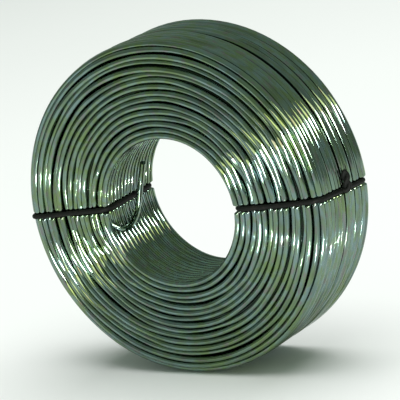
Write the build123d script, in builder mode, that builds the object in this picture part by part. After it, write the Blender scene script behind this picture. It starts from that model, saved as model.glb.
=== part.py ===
"""A small tight coil of bright tie wire, tied twice through its bore with dark annealed wire.

The coil stands on its rim, as it does on a shelf or a floor. Its axis lies along Y, its front
end faces -Y, and the origin is the point of the rim that touches the floor.
"""

from build123d import *
import os
from math import cos, pi, radians, sin

# The coil, in millimetres
outer_radius = 57.15
bore_radius = 25.4
bore_taper = 0.8
coil_width = 31.75

# The wire and how it is wound
wire_diameter = 2.03
layer_spacing = 1.98
turn_spacing = 2.9
furrow_depth = 1.0
rubbed_flat = 0.5

# Neighbours that lie tight share one crest: how many wires each crest holds, from the bore
# outward on the ends, and from the front end back on the outside
end_pattern = [2, 1, 2, 1, 2, 2, 1, 2, 1, 2]
outer_pattern = [1, 2, 3, 2, 1, 2]

# The rims, where the last turns fall short of a sharp corner
front_drop = 1.1
front_reach = 4.2
back_setback = 1.1
back_reach = 5.0

# The ties round the section, with angles in degrees from the right-hand side, upward
tie_diameter = 1.6
tie_proud = 0.35
tie_clearance = 0.15
tie_bend = 3.0
right_tie_angle = 2.5
left_tie_angle = 181.5

# The twist that closes each tie: it rises from the slot, bends over and lies along the rim
strand_offset = 0.72
twist_foot = 0.95
twist_bend = 1.2
twist_length = 5.0
twist_pitch = 6.0

# The free inner end of the wire: how far off the bore wall, the angle and the depth from the
# front end, at each point of its curve
tail_points = [
    (-1.0, 222.0, 2.6),
    (3.6, 210.0, 6.0),
    (4.8, 196.0, 12.5),
    (4.4, 176.0, 15.9),
    (3.9, 155.0, 16.4),
]

# Thin bent wire gets few sides and short straight steps
wire_sides = 8
bend_steps = 3
tail_steps = 12
twist_step_angle = 60.0

half_width = coil_width / 2
layers = round((outer_radius - bore_radius) / layer_spacing)
outer_turns = round(coil_width / turn_spacing)
layer_pitch = (outer_radius - bore_radius) / layers
turn_pitch = coil_width / outer_turns
tie_radius = tie_diameter / 2
tie_depth = tie_radius - tie_proud
slot_depth = tie_diameter - tie_proud + tie_clearance
slot_width = tie_diameter + 2 * tie_clearance
slot_bend = tie_bend - tie_radius - tie_clearance
slot_margin = tie_diameter

coil_frame = Plane(origin=(0, 0, outer_radius), x_dir=(1, 0, 0), z_dir=(0, -1, 0))
coil_axis = Axis(coil_frame.origin, coil_frame.z_dir)


def section_plane(angle):
    """The plane that cuts the coil in half along its axis: x runs outward, y to the front end."""
    outward = coil_frame.x_dir.rotate(coil_axis, angle)
    return Plane(coil_frame.origin, x_dir=outward, z_dir=outward.cross(coil_frame.z_dir))


def crest_places(count, pattern):
    """Where each crest stands, in wires from the start, when the pattern groups this many."""
    places = []
    start = 0
    while start < count:
        group = min(pattern[len(places) % len(pattern)], count - start)
        places.append(start + group / 2)
        start += group
    return places


def fall(distance, reach, depth):
    """How far a crest sits back when it lies this near to the rim."""
    return depth * max(0.0, 1 - distance / reach) ** 2


def end_crests(side):
    """The crests on one end, from the bore outward; side is 1 for the front and -1 for the back."""
    crests = []
    for place in crest_places(layers, end_pattern):
        radius = bore_radius + place * layer_pitch
        setback = fall(outer_radius - radius, back_reach, back_setback) if side < 0 else 0.0
        crests.append((radius, side * (half_width - setback)))
    return crests


def outer_crests():
    """The crests of the outermost layer, from the front end to the back."""
    crests = []
    for place in crest_places(outer_turns, outer_pattern):
        depth = place * turn_pitch
        crests.append((outer_radius - fall(depth, front_reach, front_drop), half_width - depth))
    return crests


def furrowed(crests, inward, rubbed=None):
    """The crests with a furrow sunk inward between each two, and a narrow flat on a rubbed one."""
    points = []
    for number, (radius, height) in enumerate(crests):
        if number > 0:
            last_radius, last_height = crests[number - 1]
            points.append((
                (last_radius + radius) / 2 + inward[0] * furrow_depth,
                (last_height + height) / 2 + inward[1] * furrow_depth,
            ))
        if number == rubbed:
            points.append((radius - rubbed_flat / 2, height))
            points.append((radius + rubbed_flat / 2, height))
        else:
            points.append((radius, height))
    return points


def wound_profile():
    """The section of the winding: up the front end, back over the turns, down the back end."""
    rubbed = len(end_crests(1)) // 2
    front_end = furrowed(end_crests(1), (0, -1), rubbed)
    back_end = furrowed(end_crests(-1), (0, 1), rubbed)
    outside = furrowed(outer_crests(), (-1, 0))
    front_lip = (bore_radius - bore_taper, half_width - furrow_depth)
    back_lip = (bore_radius + bore_taper, furrow_depth - half_width)
    return [front_lip, *front_end, *outside, *reversed(back_end), back_lip]


def section_loop(depth, bend):
    """A loop this deep under the section's outline, each corner bent in short straight steps."""
    corners = [
        (bore_radius - bore_taper + depth, half_width - depth, -1, 1, 180),
        (outer_radius - depth, half_width - depth, 1, 1, 90),
        (outer_radius - depth, depth - half_width, 1, -1, 0),
        (bore_radius + bore_taper + depth, depth - half_width, -1, -1, -90),
    ]
    points = []
    for x, y, right, up, start in corners:
        for step in range(bend_steps + 1):
            turned = radians(start - step * 90 / bend_steps)
            points.append((x + bend * (cos(turned) - right), y + bend * (sin(turned) - up)))
    return points


def bore_point(stand_off, angle, depth):
    """A point this far off the bore wall and this deep from the front end."""
    radius = bore_radius - stand_off
    turned = radians(angle)
    local = Vector(radius * cos(turned), radius * sin(turned), half_width - depth)
    return coil_frame.from_local_coords(local)


def twist_axis(distance):
    """The middle line of a twist, in the plane across the coil: a point and the way it heads."""
    start = outer_radius - tie_depth
    turned = min(max(0.0, (distance - twist_foot) / twist_bend), pi / 2)
    straight = max(0.0, distance - twist_foot - twist_bend * pi / 2)
    outward = start + min(distance, twist_foot) + twist_bend * sin(turned)
    along = twist_bend * (1 - cos(turned)) + straight
    return outward, along, turned


def strand_points(phase):
    """One strand of a twist, as outward, along the rim and along the coil's axis."""
    whole = twist_foot + twist_bend * pi / 2 + twist_length
    step_length = twist_pitch * twist_step_angle / 360
    steps = round((whole - twist_foot) / step_length)
    points = [(outer_radius - tie_depth, 0.0, strand_offset * cos(radians(phase)))]
    for step in range(steps + 1):
        distance = twist_foot + step * (whole - twist_foot) / steps
        outward, along, turned = twist_axis(distance)
        wound = radians(phase + step * twist_step_angle)
        sideways = strand_offset * sin(wound)
        points.append((
            outward - sideways * sin(turned),
            along + sideways * cos(turned),
            strand_offset * cos(wound),
        ))
    return points


with BuildPart() as wire_coil:
    with BuildSketch(section_plane(0)):
        with BuildLine():
            Polyline(*wound_profile(), close=True)
        make_face()
    revolve(axis=coil_axis)

    # the slots that the ties have pressed into the coil, all the way round its section
    for angle in (right_tie_angle, left_tie_angle):
        with BuildSketch(section_plane(angle)):
            with Locations(((outer_radius + bore_radius) / 2, 0)):
                Rectangle(
                    outer_radius - bore_radius + 2 * slot_margin, coil_width + 2 * slot_margin
                )
            with BuildLine():
                Polyline(*section_loop(slot_depth, slot_bend), close=True)
            make_face(mode=Mode.SUBTRACT)
        extrude(amount=slot_width / 2, both=True, mode=Mode.SUBTRACT)

    # the free inner end springs off the bore wall and is cut square
    with BuildLine() as tail:
        curve = Spline(*[bore_point(*point) for point in tail_points], mode=Mode.PRIVATE)
        Polyline(*[curve @ (step / tail_steps) for step in range(tail_steps + 1)])
    with BuildSketch(Plane(tail.line @ 0, z_dir=tail.line % 0)):
        RegularPolygon(wire_diameter / 2, wire_sides)
    sweep(path=tail.line, transition=Transition.RIGHT)


def build_tie(angle):
    """One tie: a loop of wire bedded in its slot, its two ends twisted together on the outside."""
    plane = section_plane(angle)
    upward = 1 if cos(radians(angle)) > 0 else -1
    rim_plane = Plane(plane.origin, x_dir=plane.x_dir, z_dir=upward * coil_frame.z_dir)
    with BuildPart() as tie:
        with BuildLine(plane) as loop:
            Polyline(*section_loop(tie_depth, tie_bend), close=True)
        with BuildSketch(Plane(loop.line @ 0, z_dir=loop.line % 0)):
            RegularPolygon(tie_radius, wire_sides)
        sweep(path=loop.line, transition=Transition.RIGHT)

        for phase in (0, 180):
            with BuildLine(rim_plane) as strand:
                Polyline(*strand_points(phase))
            with BuildSketch(Plane(strand.line @ 0, z_dir=strand.line % 0)):
                RegularPolygon(tie_radius, wire_sides)
            sweep(path=strand.line, transition=Transition.RIGHT)
    return tie


right_tie = build_tie(right_tie_angle)
left_tie = build_tie(left_tie_angle)

wire_coil.part.label = "wire_coil"
right_tie.part.label = "right_tie"
left_tie.part.label = "left_tie"

os.makedirs("parts", exist_ok=True)
export_step(wire_coil.part, "parts/wire_coil.step")
export_step(right_tie.part, "parts/right_tie.step")
export_step(left_tie.part, "parts/left_tie.step")
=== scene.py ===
"""A small tight coil of bright tie wire, tied twice through its bore with dark annealed wire.

The coil stands on its rim with its axis along Y and its front end facing -Y, as the CAD does.
A place in the coil is given by a radius from its axis, an angle upward from the right-hand
side and a depth from its front end. Lengths are in millimetres until a mesh is made.
"""

import math

import bmesh
import bpy
from mathutils import Matrix, Vector, noise


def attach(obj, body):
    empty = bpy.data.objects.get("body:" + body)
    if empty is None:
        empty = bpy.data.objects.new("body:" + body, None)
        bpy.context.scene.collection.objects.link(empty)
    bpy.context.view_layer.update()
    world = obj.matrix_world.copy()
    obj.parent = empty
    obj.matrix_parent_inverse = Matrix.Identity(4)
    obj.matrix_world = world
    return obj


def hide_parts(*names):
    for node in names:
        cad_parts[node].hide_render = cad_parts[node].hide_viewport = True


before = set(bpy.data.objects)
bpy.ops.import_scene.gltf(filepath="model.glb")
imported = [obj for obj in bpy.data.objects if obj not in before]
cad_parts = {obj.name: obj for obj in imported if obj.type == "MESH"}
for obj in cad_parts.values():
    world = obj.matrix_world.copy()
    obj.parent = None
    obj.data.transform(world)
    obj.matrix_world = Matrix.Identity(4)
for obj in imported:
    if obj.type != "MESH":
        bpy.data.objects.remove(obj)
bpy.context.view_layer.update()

MM = 0.001

# The coil, as the CAD has it
outer_radius = 57.15
bore_radius = 25.4
bore_taper = 0.8
coil_width = 31.75
wire_radius = 1.015
layers = 16
front_drop = 1.1
front_reach = 4.2
back_setback = 1.1
back_reach = 5.0

# The front end's outermost turns sit back and closer in than the solids' crests do
front_setback = 2.6
front_setback_reach = 6.5
front_tuck = 0.8
front_tuck_reach = 3.0

# The ties, as the CAD has them
tie_radius = 0.8
tie_depth = 0.45
tie_bend = 3.0
tie_angles = {"right": 2.5, "left": 181.5}

# How far each tie strays from its angle, in degrees: at the bore and at the rim of the front
# end, midway between them, and at the rim and at the bore of the back end
tie_strays = {"right": (-1.1, 0.4, 0.9, -1.3, -0.6), "left": (-2.4, 1.8, 0.7, 0.6, -1.6)}

# Tied by hand, the coil is a little out of round, longest along this angle. It is drawn in to
# stay inside the solids' box, and its axis lies lower so that it still meets the floor
out_of_round = 0.9
long_axis = math.radians(33.7)
drawn_in = 0.06
rest_drop = 0.3

# The photograph shows the coil rolled this far back round its axis from how it stands here
photo_roll = math.radians(11.3)

# Each turn's mesh, with its steps crowded together near this angle and opposite it, at the ties
turn_steps = 192
wire_sides = 12
crowding = 0.84
crowded_angle = 2.0

# How far along the wire a tie presses the turns it crosses, and what share of the way to its bed
tie_dip_reach = 1.05
tie_dip_share = 0.6

# The twist that closes each tie
twist_foot = 0.6
twist_bend = 1.2
twist_length = 5.0
twist_pitch = 6.0
strand_offset = 0.72

# The layer beneath the outermost one: how far under the outside it lies, in wire radii. Of the
# rows across the width, there and in the bore, the first and the last are the end turns' own
under_level = 2.65
under_rows = 15
bore_rows = 14

# How many wires lie tight together, from the bore outward, and how far back each ring lies,
# which its drift may make up to the deepest
ring_groups = [2, 1, 2, 1, 2, 2, 1, 2, 1, 2]
ring_sinks = [0.0, 0.5, 0.1, 0.7, 0.1, 0.0, 0.5, 0.05, 0.6, 0.0, 0.7, 0.1, 0.9, 0.0, 0.1, 0.0]
deepest_sink = 1.3

# The outermost turns: the depth of each, its group and how far it lies under the rim's level
outer_lay = [
    (4.9, 0, 0.1), (6.6, 0, 0.35), (8.3, 0, 0.1), (11.0, 1, 0.15), (13.0, 1, 0.0),
    (15.0, 1, 0.1), (18.3, 2, 0.2), (19.9, 2, 0.55), (21.3, 2, 0.1), (24.3, 3, 0.1),
    (26.0, 3, 0.2), (28.5, 4, 0.05), (30.2, 4, 0.3),
]


# Places in the coil

def place(radius, angle, depth):
    """The point of the shared frame, in metres, at this place in the coil."""
    stretch = out_of_round / outer_radius * math.cos(2 * (angle - long_axis))
    reach = (radius - drawn_in) * (1 + stretch)
    return Vector((
        reach * math.cos(angle),
        depth - coil_width / 2,
        outer_radius - rest_drop + reach * math.sin(angle),
    )) * MM


def bore_at(depth):
    """The bore's radius this deep from the front end: it opens towards the back."""
    return bore_radius + bore_taper * (2 * depth / coil_width - 1)


def rim_fall(distance, reach, depth):
    """How far a turn sits back when it lies this near to a rim."""
    return depth * max(0.0, 1 - distance / reach) ** 2


def bedded(radius, depth):
    """Where a tie holds the middle of a wire that would lie here: inside its own round loop."""
    inset = tie_depth + tie_radius + wire_radius
    corner = tie_bend - tie_radius - wire_radius
    low_r, high_r = bore_at(depth) + inset + corner, outer_radius - inset - corner
    low_d, high_d = inset + corner, coil_width - inset - corner
    core_r = min(max(radius, low_r), high_r)
    core_d = min(max(depth, low_d), high_d)
    out_r, out_d = radius - core_r, depth - core_d
    length = math.hypot(out_r, out_d)
    if length <= corner:
        return radius, depth
    return core_r + out_r * corner / length, core_d + out_d * corner / length


def tie_angle_at(side, radius, depth):
    """The angle at which this tie crosses the section at this radius and depth."""
    bore_front, bow, rim_front, rim_back, bore_back = tie_strays[side]
    out = min(max((radius - bore_radius) / (outer_radius - bore_radius), 0.0), 1.0)
    back = min(max(depth / coil_width, 0.0), 1.0)
    front = bore_front + (rim_front - bore_front) * out + bow * out * (1 - out)
    rear = bore_back + (rim_back - bore_back) * out
    return math.radians(tie_angles[side] + front + (rear - front) * back)


def tie_grip(radius, angle, depth):
    """How far the nearest tie presses a wire here towards its bed, as a share of the way."""
    grip = 0.0
    for side in tie_angles:
        apart = angle - tie_angle_at(side, radius, depth)
        apart = (apart + math.pi) % (2 * math.pi) - math.pi
        grip = max(grip, tie_dip_share * math.exp(-((radius * apart / tie_dip_reach) ** 4)))
    return grip


def wander(angle, pace, row, seed):
    """A slow drift round the coil, from -1 to 1, that closes on itself and changes with the row."""
    return noise.noise(Vector((
        pace * math.cos(angle) + seed, pace * math.sin(angle) - seed, row + 7.3 * seed,
    )))


# Mesh work

def finished(mesh, name):
    """A piece at the origin from this bmesh, with its faces turned outwards and shaded smooth."""
    bmesh.ops.recalc_face_normals(mesh, faces=mesh.faces[:])
    data = bpy.data.meshes.new(name)
    mesh.to_mesh(data)
    mesh.free()
    data.shade_smooth()
    piece = bpy.data.objects.new(name, data)
    bpy.context.scene.collection.objects.link(piece)
    return piece


def add_turn(mesh, radius, depth, drift):
    """One closed turn of wire. drift gives its radius and depth offsets at each angle."""
    turn = bmesh.new()
    centre = Matrix.Translation((radius, depth, 0))
    bmesh.ops.create_circle(
        turn, cap_ends=False, radius=wire_radius, segments=wire_sides, matrix=centre
    )
    bmesh.ops.spin(
        turn, geom=turn.verts[:] + turn.edges[:], cent=(0, 0, 0), axis=(0, 1, 0),
        angle=2 * math.pi, steps=turn_steps, use_merge=True,
    )
    for vert in turn.verts:
        x, y, z = vert.co
        angle = math.atan2(z, x)
        crowd = angle - math.radians(crowded_angle)
        angle -= crowding / 2 * math.sin(2 * crowd)
        off_r, off_d = math.hypot(x, z) - radius, y - depth
        drift_r, drift_d = drift(angle)
        mid_r, mid_d = radius + drift_r, depth + drift_d
        held_r, held_d = bedded(mid_r, mid_d)
        grip = tie_grip(mid_r, angle, mid_d)
        mid_r += (held_r - mid_r) * grip
        mid_d += (held_d - mid_d) * grip
        vert.co = place(mid_r + off_r, angle, mid_d + off_d)
    part = bpy.data.meshes.new("turn")
    turn.to_mesh(part)
    turn.free()
    mesh.from_mesh(part)
    bpy.data.meshes.remove(part)


# The turns

def end_turns(name, front):
    """The last wire of every layer, as it shows on the front end or on the back."""
    mesh = bmesh.new()
    pitch = (outer_radius - bore_radius) / layers
    seed = 1.7 if front else 5.2
    groups = [group for group, count in enumerate(ring_groups) for _ in range(count)]
    for row in range(layers):
        radius = bore_radius + (row + 0.5) * pitch
        level = wire_radius
        if front:
            level += rim_fall(outer_radius - radius, front_setback_reach, front_setback)
            radius -= rim_fall(outer_radius - radius, front_tuck_reach, front_tuck)
            radius -= bore_taper * (1 - row / layers)
        else:
            level += rim_fall(outer_radius - radius, back_reach, back_setback)
            radius += bore_taper * (1 - row / layers)
        inner = min(1.0, row / 2, (layers - 1 - row) / 2)
        base = ring_sinks[row if front else layers - 1 - row]

        def drift(angle, group=groups[row], row=row, inner=inner, base=base):
            together = wander(angle, 1.3, group * 1.9, seed)
            alone = wander(angle, 2.2, row * 3.1, seed + 2)
            sink = base + 1.2 * wander(angle, 1.7, row * 2.7, seed + 4)
            sink += 0.5 * wander(angle, 4.0, row * 1.7, seed + 8)
            sideways = inner * (0.5 * together + 0.4 * alone)
            sink = min(max(0.0, sink), deepest_sink)
            inward = inner * sink + (1 - inner) * max(0.0, 0.4 * alone)
            return sideways, inward if front else -inward

        add_turn(mesh, radius, level if front else coil_width - level, drift)
    return finished(mesh, name)


def outer_turns(name):
    """The outermost layer, loose enough to show the layer beneath between some of its turns."""
    mesh = bmesh.new()
    for row, (depth, group, low) in enumerate(outer_lay):
        radius = outer_radius - wire_radius - rim_fall(depth, front_reach, front_drop)

        def drift(angle, row=row, group=group, low=low):
            together = wander(angle, 1.2, group * 2.3, 8.4)
            alone = wander(angle, 2.1, row * 3.3, 9.1)
            dip = 0.3 * wander(angle, 1.9, row * 2.9, 3.9)
            return min(0.0, dip - low), 0.55 * together + 0.3 * alone

        add_turn(mesh, radius, depth, drift)
    return finished(mesh, name)


def under_turns(name):
    """The layer beneath the outermost one. Its finish is a darker copy of the bright steel, as
    painted shade.
    """
    mesh = bmesh.new()
    for row in range(1, under_rows - 1):
        depth = (row + 0.5) * coil_width / under_rows
        radius = outer_radius - under_level * wire_radius
        add_turn(mesh, radius, depth, lambda angle, row=row: (
            -0.2 + 0.2 * wander(angle, 2.0, row * 3.7, 6.6),
            0.3 * wander(angle, 1.8, row * 3.3, 2.2),
        ))
    return finished(mesh, name)


def bore_turns(name):
    """The innermost layer, which lines the bore."""
    mesh = bmesh.new()
    for row in range(1, bore_rows - 1):
        depth = (row + 0.5) * coil_width / bore_rows
        add_turn(mesh, bore_at(depth) + wire_radius, depth, lambda angle, row=row: (
            0.15 + 0.15 * wander(angle, 1.8, row * 3.1, 4.4),
            0.35 * wander(angle, 1.3, row * 2.3, 7.7),
        ))
    return finished(mesh, name)


def winding_core(name):
    """The body of the winding, close under the turns that show. Its finish is a much darker copy of
    the bright steel, as painted shade.
    """
    mesh = bmesh.new()
    inset = 2.1 * wire_radius
    under = 3.5 * wire_radius
    corners = [
        (bore_at(0) + inset, inset),
        (outer_radius - under, inset),
        (outer_radius - under, coil_width - inset - back_setback),
        (bore_at(coil_width) + inset, coil_width - inset),
    ]
    verts = [mesh.verts.new((radius, depth, 0)) for radius, depth in corners]
    edges = [mesh.edges.new((verts[i], verts[(i + 1) % len(verts)])) for i in range(len(verts))]
    bmesh.ops.spin(
        mesh, geom=verts + edges, cent=(0, 0, 0), axis=(0, 1, 0),
        angle=2 * math.pi, steps=turn_steps, use_merge=True,
    )
    for vert in mesh.verts:
        x, y, z = vert.co
        vert.co = place(math.hypot(x, z), math.atan2(z, x), y)
    return finished(mesh, name)


# The ties and the free end

def tube(name, points, radius, cyclic=False):
    """A round wire along these points of the shared frame, as mesh data."""
    curve = bpy.data.curves.new(name, "CURVE")
    curve.dimensions = "3D"
    curve.bevel_depth = radius * MM
    curve.bevel_resolution = 3
    curve.use_fill_caps = True
    curve.resolution_u = 3
    spline = curve.splines.new("NURBS")
    spline.points.add(len(points) - 1)
    for point, spot in zip(spline.points, points):
        point.co = (*spot, 1)
    spline.use_cyclic_u = cyclic
    spline.order_u = 3
    spline.use_endpoint_u = not cyclic
    carrier = bpy.data.objects.new(name, curve)
    bpy.context.scene.collection.objects.link(carrier)
    bpy.context.view_layer.update()
    evaluated = carrier.evaluated_get(bpy.context.evaluated_depsgraph_get())
    data = bpy.data.meshes.new_from_object(evaluated)
    bpy.data.objects.remove(carrier)
    bpy.data.curves.remove(curve)
    return data


def between(first, last):
    """Four even steps from one point of the section to another, without either."""
    return [
        (first[0] + (last[0] - first[0]) * share, first[1] + (last[1] - first[1]) * share)
        for share in (0.2, 0.4, 0.6, 0.8)
    ]


def tie_loop(side):
    """Points round the winding's section where this tie lies."""
    corners = [
        (bore_at(0) + tie_depth, tie_depth, -1, -1),
        (outer_radius - tie_depth, tie_depth, 1, -1),
        (outer_radius - tie_depth, coil_width - tie_depth, 1, 1),
        (bore_at(coil_width) + tie_depth, coil_width - tie_depth, -1, 1),
    ]
    starts = [180, 270, 0, 90]
    bend_steps = 4
    points = []
    for (radius, depth, out, back), start in zip(corners, starts):
        bend = []
        for step in range(bend_steps + 1):
            turned = math.radians(start + step * 90 / bend_steps)
            bend.append((
                radius + tie_bend * (math.cos(turned) - out),
                depth + tie_bend * (math.sin(turned) - back),
            ))
        if points:
            points += between(points[-1], bend[0])
        points += bend
    points += between(points[-1], points[0])
    return [place(radius, tie_angle_at(side, radius, depth), depth) for radius, depth in points]


def tie_strand(side, phase):
    """One end of a tie: out of the slot, over, and wound round the other along the rim."""
    angle = tie_angle_at(side, outer_radius, coil_width / 2)
    upward = 1 if side == "right" else -1
    whole = twist_foot + twist_bend * math.pi / 2 + twist_length
    steps = 14
    points = []
    for step in range(steps + 1):
        distance = step * whole / steps
        turned = min(max(0.0, (distance - twist_foot) / twist_bend), math.pi / 2)
        straight = max(0.0, distance - twist_foot - twist_bend * math.pi / 2)
        out = outer_radius - tie_depth + min(distance, twist_foot)
        out += twist_bend * math.sin(turned)
        along = twist_bend * (1 - math.cos(turned)) + straight
        wound = math.radians(phase)
        wound += 2 * math.pi * max(0.0, distance - twist_foot) / twist_pitch
        sideways = strand_offset * math.sin(wound)
        out -= sideways * math.sin(turned)
        along += sideways * math.cos(turned)
        points.append(place(
            out, angle + upward * along / out,
            coil_width / 2 + strand_offset * math.cos(wound),
        ))
    return points


def build_tie(name, side):
    """A tie: its loop round the section and the two twisted ends."""
    mesh = bmesh.new()
    for data in (
        tube(name + "_loop", tie_loop(side), tie_radius, cyclic=True),
        tube(name + "_end_a", tie_strand(side, 0), tie_radius),
        tube(name + "_end_b", tie_strand(side, 180), tie_radius),
    ):
        mesh.from_mesh(data)
        bpy.data.meshes.remove(data)
    return finished(mesh, name)


def free_end(name):
    """The inner end of the wire, sprung off the bore wall and cut square."""
    stations = [
        (-1.0, 187.5, 2.0), (1.1, 195.7, 2.4), (2.7, 199.9, 5.4), (3.6, 196.6, 9.2),
        (3.9, 186.6, 13.6), (3.9, 165.0, 16.2), (3.8, 144.0, 14.5),
    ]
    points = [
        place(bore_radius - stand_off, math.radians(angle), depth)
        for stand_off, angle, depth in stations
    ]
    data = tube(name, points, wire_radius)
    mesh = bmesh.new()
    mesh.from_mesh(data)
    bpy.data.meshes.remove(data)
    return finished(mesh, name)


# Finishes

class Signal:
    """A number that changes over a surface. Python's operators add the Math nodes it needs."""

    def __init__(self, finish, socket):
        self.finish = finish
        self.socket = socket

    def math(self, operation, other=None):
        values = [self] if other is None else [self, other]
        return self.finish.math(operation, *values)

    def __add__(self, other):
        return self.math("ADD", other)

    def __radd__(self, other):
        return self.finish.math("ADD", other, self)

    def __sub__(self, other):
        return self.math("SUBTRACT", other)

    def __rsub__(self, other):
        return self.finish.math("SUBTRACT", other, self)

    def __mul__(self, other):
        return self.math("MULTIPLY", other)

    def __rmul__(self, other):
        return self.finish.math("MULTIPLY", other, self)

    def __truediv__(self, other):
        return self.math("DIVIDE", other)

    def __rtruediv__(self, other):
        return self.finish.math("DIVIDE", other, self)


class Finish:
    """A node material for one of the coil's surfaces."""

    def __init__(self, name):
        self.material = bpy.data.materials.new(name)
        self.material.use_nodes = True
        self.tree = self.material.node_tree
        self.tree.nodes.clear()

    def node(self, kind, settings=None, inputs=None):
        """Adds a node: its settings first, then the value or link of each socket."""
        made = self.tree.nodes.new(kind)
        for key, value in (settings or {}).items():
            setattr(made, key, value)
        for key, value in (inputs or {}).items():
            if isinstance(value, Signal):
                self.tree.links.new(value.socket, made.inputs[key])
            else:
                made.inputs[key].default_value = value
        return made

    def signal(self, made, output=0):
        return Signal(self, made.outputs[output])

    def math(self, operation, *values):
        made = self.node("ShaderNodeMath", {"operation": operation}, dict(enumerate(values)))
        return self.signal(made)

    def noise(self, where, scale, detail=2.0, roughness=0.5):
        made = self.node("ShaderNodeTexNoise", {}, {
            "Vector": where, "Scale": scale, "Detail": detail, "Roughness": roughness,
        })
        return self.signal(made, "Fac")

    def band(self, value, low, high):
        """0 below low, 1 above high, and smooth between."""
        made = self.node("ShaderNodeMapRange", {"interpolation_type": "SMOOTHSTEP"}, {
            "Value": value, "From Min": low, "From Max": high,
        })
        return self.signal(made)

    def blend(self, factor, first, second):
        """A colour between two, each a colour or a link."""
        made = self.node("ShaderNodeMix", {"data_type": "RGBA"}, {
            "Factor": factor, 6: first, 7: second,
        })
        return self.signal(made, 2)

    def surface(self, **inputs):
        """The surface shader and the material's output."""
        shader = self.node("ShaderNodeBsdfPrincipled", {}, {
            key.replace("_", " "): value for key, value in inputs.items()
        })
        output = self.node("ShaderNodeOutputMaterial")
        self.tree.links.new(shader.outputs[0], output.inputs[0])
        return self.material


def lay_of(finish):
    """Where a point of the winding lies: its radius and depth in metres, and its way round."""
    where = finish.signal(finish.node("ShaderNodeTexCoord"), "Object")
    split = finish.node("ShaderNodeSeparateXYZ", {}, {"Vector": where})
    across, depth, height = (finish.signal(split, axis) for axis in range(3))
    height = height - (outer_radius - rest_drop) * MM
    radius = (across * across + height * height).math("SQRT")
    return where, radius, depth, across / radius, height / radius


def along_wire(finish, lay, fine, slow, detail=2.0):
    """Noise drawn out along the wire: fine is its scale across the wire, slow round the coil."""
    _, radius, depth, right, up = lay
    grid = finish.node("ShaderNodeCombineXYZ", {}, {
        "X": radius * fine, "Y": depth * fine, "Z": right * slow,
    })
    made = finish.node("ShaderNodeTexNoise", {"noise_dimensions": "4D"}, {
        "Vector": finish.signal(grid), "W": up * slow, "Scale": 1.0, "Detail": detail,
    })
    return finish.signal(made, "Fac")


def bright_steel(name, tone=1.0):
    """Drawn bright wire: grey-green, each turn a little different, with draw marks along it. A tone
    below 1 darkens all its colours, as painted shade.
    """
    finish = Finish(name)
    lay = lay_of(finish)
    cool = tuple(tone * c for c in (0.20, 0.295, 0.285)) + (1,)
    olive = tuple(tone * c for c in (0.18, 0.26, 0.115)) + (1,)
    plum = tuple(tone * c for c in (0.23, 0.215, 0.225)) + (1,)
    dull = tuple(tone * c for c in (0.075, 0.10, 0.075)) + (1,)
    cast = finish.band(finish.noise(lay[0], 48.0, 3.0, 0.6), 0.38, 0.66)
    mottle = finish.band(along_wire(finish, lay, 620.0, 14.0, 3.0), 0.42, 0.58)
    colour = finish.blend(0.45 * cast + 0.55 * mottle, cool, olive)
    stain = finish.band(along_wire(finish, lay, 900.0, 16.0, 2.0), 0.54, 0.68)
    colour = finish.blend(0.75 * stain, colour, plum)
    turn_tone = finish.band(along_wire(finish, lay, 430.0, 4.0, 3.0), 0.4, 0.7)
    colour = finish.blend(turn_tone * 0.5, colour, dull)
    marks = along_wire(finish, lay, 7500.0, 9.0, 3.0)
    roughness = 0.04 + 0.03 * marks + 0.05 * turn_tone
    bump = finish.node("ShaderNodeBump", {}, {
        "Strength": 0.05, "Distance": 0.00005, "Height": marks,
    })
    return finish.surface(
        Base_Color=colour, Metallic=1.0, Roughness=roughness, Normal=finish.signal(bump),
    )


def black_annealed(name):
    """Soft annealed wire: black scale with a dull sheen and a trace of rust."""
    finish = Finish(name)
    where = finish.signal(finish.node("ShaderNodeTexCoord"), "Object")
    scale = finish.noise(where, 400.0, 4.0, 0.6)
    worn = finish.band(scale, 0.55, 0.75)
    colour = finish.blend(worn, (0.006, 0.007, 0.006, 1), (0.025, 0.022, 0.018, 1))
    bump = finish.node("ShaderNodeBump", {}, {
        "Strength": 0.4, "Distance": 0.0001, "Height": scale,
    })
    return finish.surface(
        Base_Color=colour, Specular_IOR_Level=0.1, Roughness=0.55 + 0.25 * worn,
        Normal=finish.signal(bump),
    )


def pale_floor(name):
    """A matt, nearly even pale grey."""
    finish = Finish(name)
    where = finish.signal(finish.node("ShaderNodeTexCoord"), "Object")
    tone = finish.noise(where, 3.0, 2.0)
    colour = finish.blend(tone, (0.80, 0.80, 0.80, 1), (0.84, 0.84, 0.84, 1))
    return finish.surface(Base_Color=colour, Roughness=0.9)


# The camera. The photograph looks a little down on the front end, from its right. Its level is
# taken from the ties, so the camera leans by the angle between its ties and the solids' ties

def from_photo(direction):
    """A direction of the photograph's level frame, in the shared frame."""
    return Matrix.Rotation(photo_roll, 3, "Y") @ Vector(direction)


def set_facing(thing, spot, away, sideways):
    """Puts a camera or a light here, its back this way and its width along the other."""
    away = away.normalized()
    across = (sideways - away * sideways.dot(away)).normalized()
    turned = Matrix((across, away.cross(across), away)).transposed()
    thing.location = spot
    thing.rotation_euler = turned.to_euler()


camera_azimuth = math.radians(31.7)
camera_elevation = math.radians(20.5)
camera_distance = 0.8
camera_lens = 218.2
aim_right = 1.85
aim_down = 0.89
middle = Vector((0, 0, (outer_radius - rest_drop) * MM))
towards_camera = from_photo((
    math.sin(camera_azimuth) * math.cos(camera_elevation),
    -math.cos(camera_azimuth) * math.cos(camera_elevation),
    math.sin(camera_elevation),
))
rightward = from_photo((math.cos(camera_azimuth), math.sin(camera_azimuth), 0))
upward = towards_camera.cross(rightward)
aim = middle + aim_right * MM * rightward - aim_down * MM * upward

camera_data = bpy.data.cameras.new("camera")
camera_data.sensor_width = 36
camera_data.lens = camera_lens
camera_data.clip_start = 0.05
camera_data.clip_end = 20
camera = bpy.data.objects.new("camera", camera_data)
bpy.context.scene.collection.objects.link(camera)
set_facing(camera, aim + camera_distance * towards_camera, towards_camera, rightward)
bpy.context.scene.camera = camera

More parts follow.
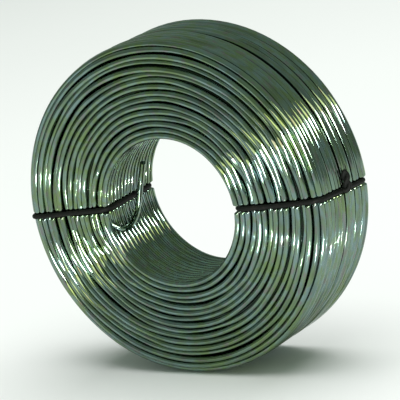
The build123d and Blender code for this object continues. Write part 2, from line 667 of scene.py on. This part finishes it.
# The pieces
steel = bright_steel("bright_drawn_wire")
# Darker copies of the bright steel, as painted shade: one for the layer under the outermost turns,
# where it shows in the gaps, and a darker one for the winding's body
painted_shade_steel = bright_steel("painted_shade_wire", 0.35)
deep_painted_shade_steel = bright_steel("deep_painted_shade_wire", 0.15)
annealed = black_annealed("black_annealed_wire")

pieces = [
    (winding_core("winding_core"), deep_painted_shade_steel, "bright_wire", "wire_coil"),
    (end_turns("front_end_turns", True), steel, "bright_wire", None),
    (end_turns("back_end_turns", False), steel, "bright_wire", None),
    (outer_turns("outer_turns"), steel, "bright_wire", None),
    (under_turns("under_turns"), painted_shade_steel, "bright_wire", None),
    (bore_turns("bore_turns"), steel, "bright_wire", None),
    (free_end("free_end"), steel, "bright_wire", None),
    (build_tie("right_tie_wire", "right"), annealed, "dark_wire", "right_tie"),
    (build_tie("left_tie_wire", "left"), annealed, "dark_wire", "left_tie"),
]
for piece, finish, slot, node in pieces:
    piece.data.materials.clear()
    piece.data.materials.append(finish)
    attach(piece, "root")
    if node:
        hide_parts(node)

# The floor
floor_mesh = bmesh.new()
bmesh.ops.create_grid(floor_mesh, x_segments=1, y_segments=1, size=3.0)
floor = finished(floor_mesh, "floor")
floor.data.materials.append(pale_floor("pale_floor"))


# The lights

def soft_light(name, direction, lengthways, distance, length, width, power, tint=(1, 1, 1)):
    """A rectangular light this far from the coil, in directions of the photograph's frame."""
    data = bpy.data.lights.new(name, "AREA")
    data.shape = "RECTANGLE"
    data.size = length
    data.size_y = width
    data.energy = power
    data.color = tint
    light = bpy.data.objects.new(name, data)
    bpy.context.scene.collection.objects.link(light)
    away = from_photo(direction).normalized()
    set_facing(light, middle + away * distance, away, from_photo(lengthways))
    return light


def only_for(light, objects):
    """Lets the light reach these objects alone, and returns their collection."""
    group = bpy.data.collections.new(light.name + "_reach")
    for thing in objects:
        group.objects.link(thing)
    light.light_linking.receiver_collection = group
    return group


def outward(degrees):
    """The direction away from the coil's axis at this angle."""
    return math.cos(math.radians(degrees)), 0, math.sin(math.radians(degrees))


coil_parts = [entry[0] for entry in pieces]
key = soft_light("key", (0.46, -0.86, 0.27), outward(42), 0.9, 1.6, 0.09, 14.0)
only_for(key, coil_parts)
amber = soft_light(
    "amber", (0.50, -0.73, 0.53), outward(40), 0.9, 1.4, 0.12, 1.7, (1.0, 0.86, 0.5)
)
only_for(amber, coil_parts)
low = soft_light("low_sparkle", (0.455, -0.788, -0.415), outward(-4), 0.5, 0.14, 0.02, 1.0)
low.light_linking.blocker_collection = only_for(low, coil_parts)
low.data.cycles.use_multiple_importance_sampling = False
overhead = soft_light("overhead", (-0.1, 0.1, 1.0), (1, 0, 0), 1.4, 1.6, 1.6, 27.0)
only_for(overhead, [floor])

world = bpy.data.worlds.new("studio")
world.use_nodes = True
world.node_tree.nodes["Background"].inputs["Color"].default_value = (0.30, 0.36, 0.31, 1)
world.node_tree.nodes["Background"].inputs["Strength"].default_value = 1.0
bpy.context.scene.world = world
bpy.context.scene.view_settings.view_transform = "Standard"
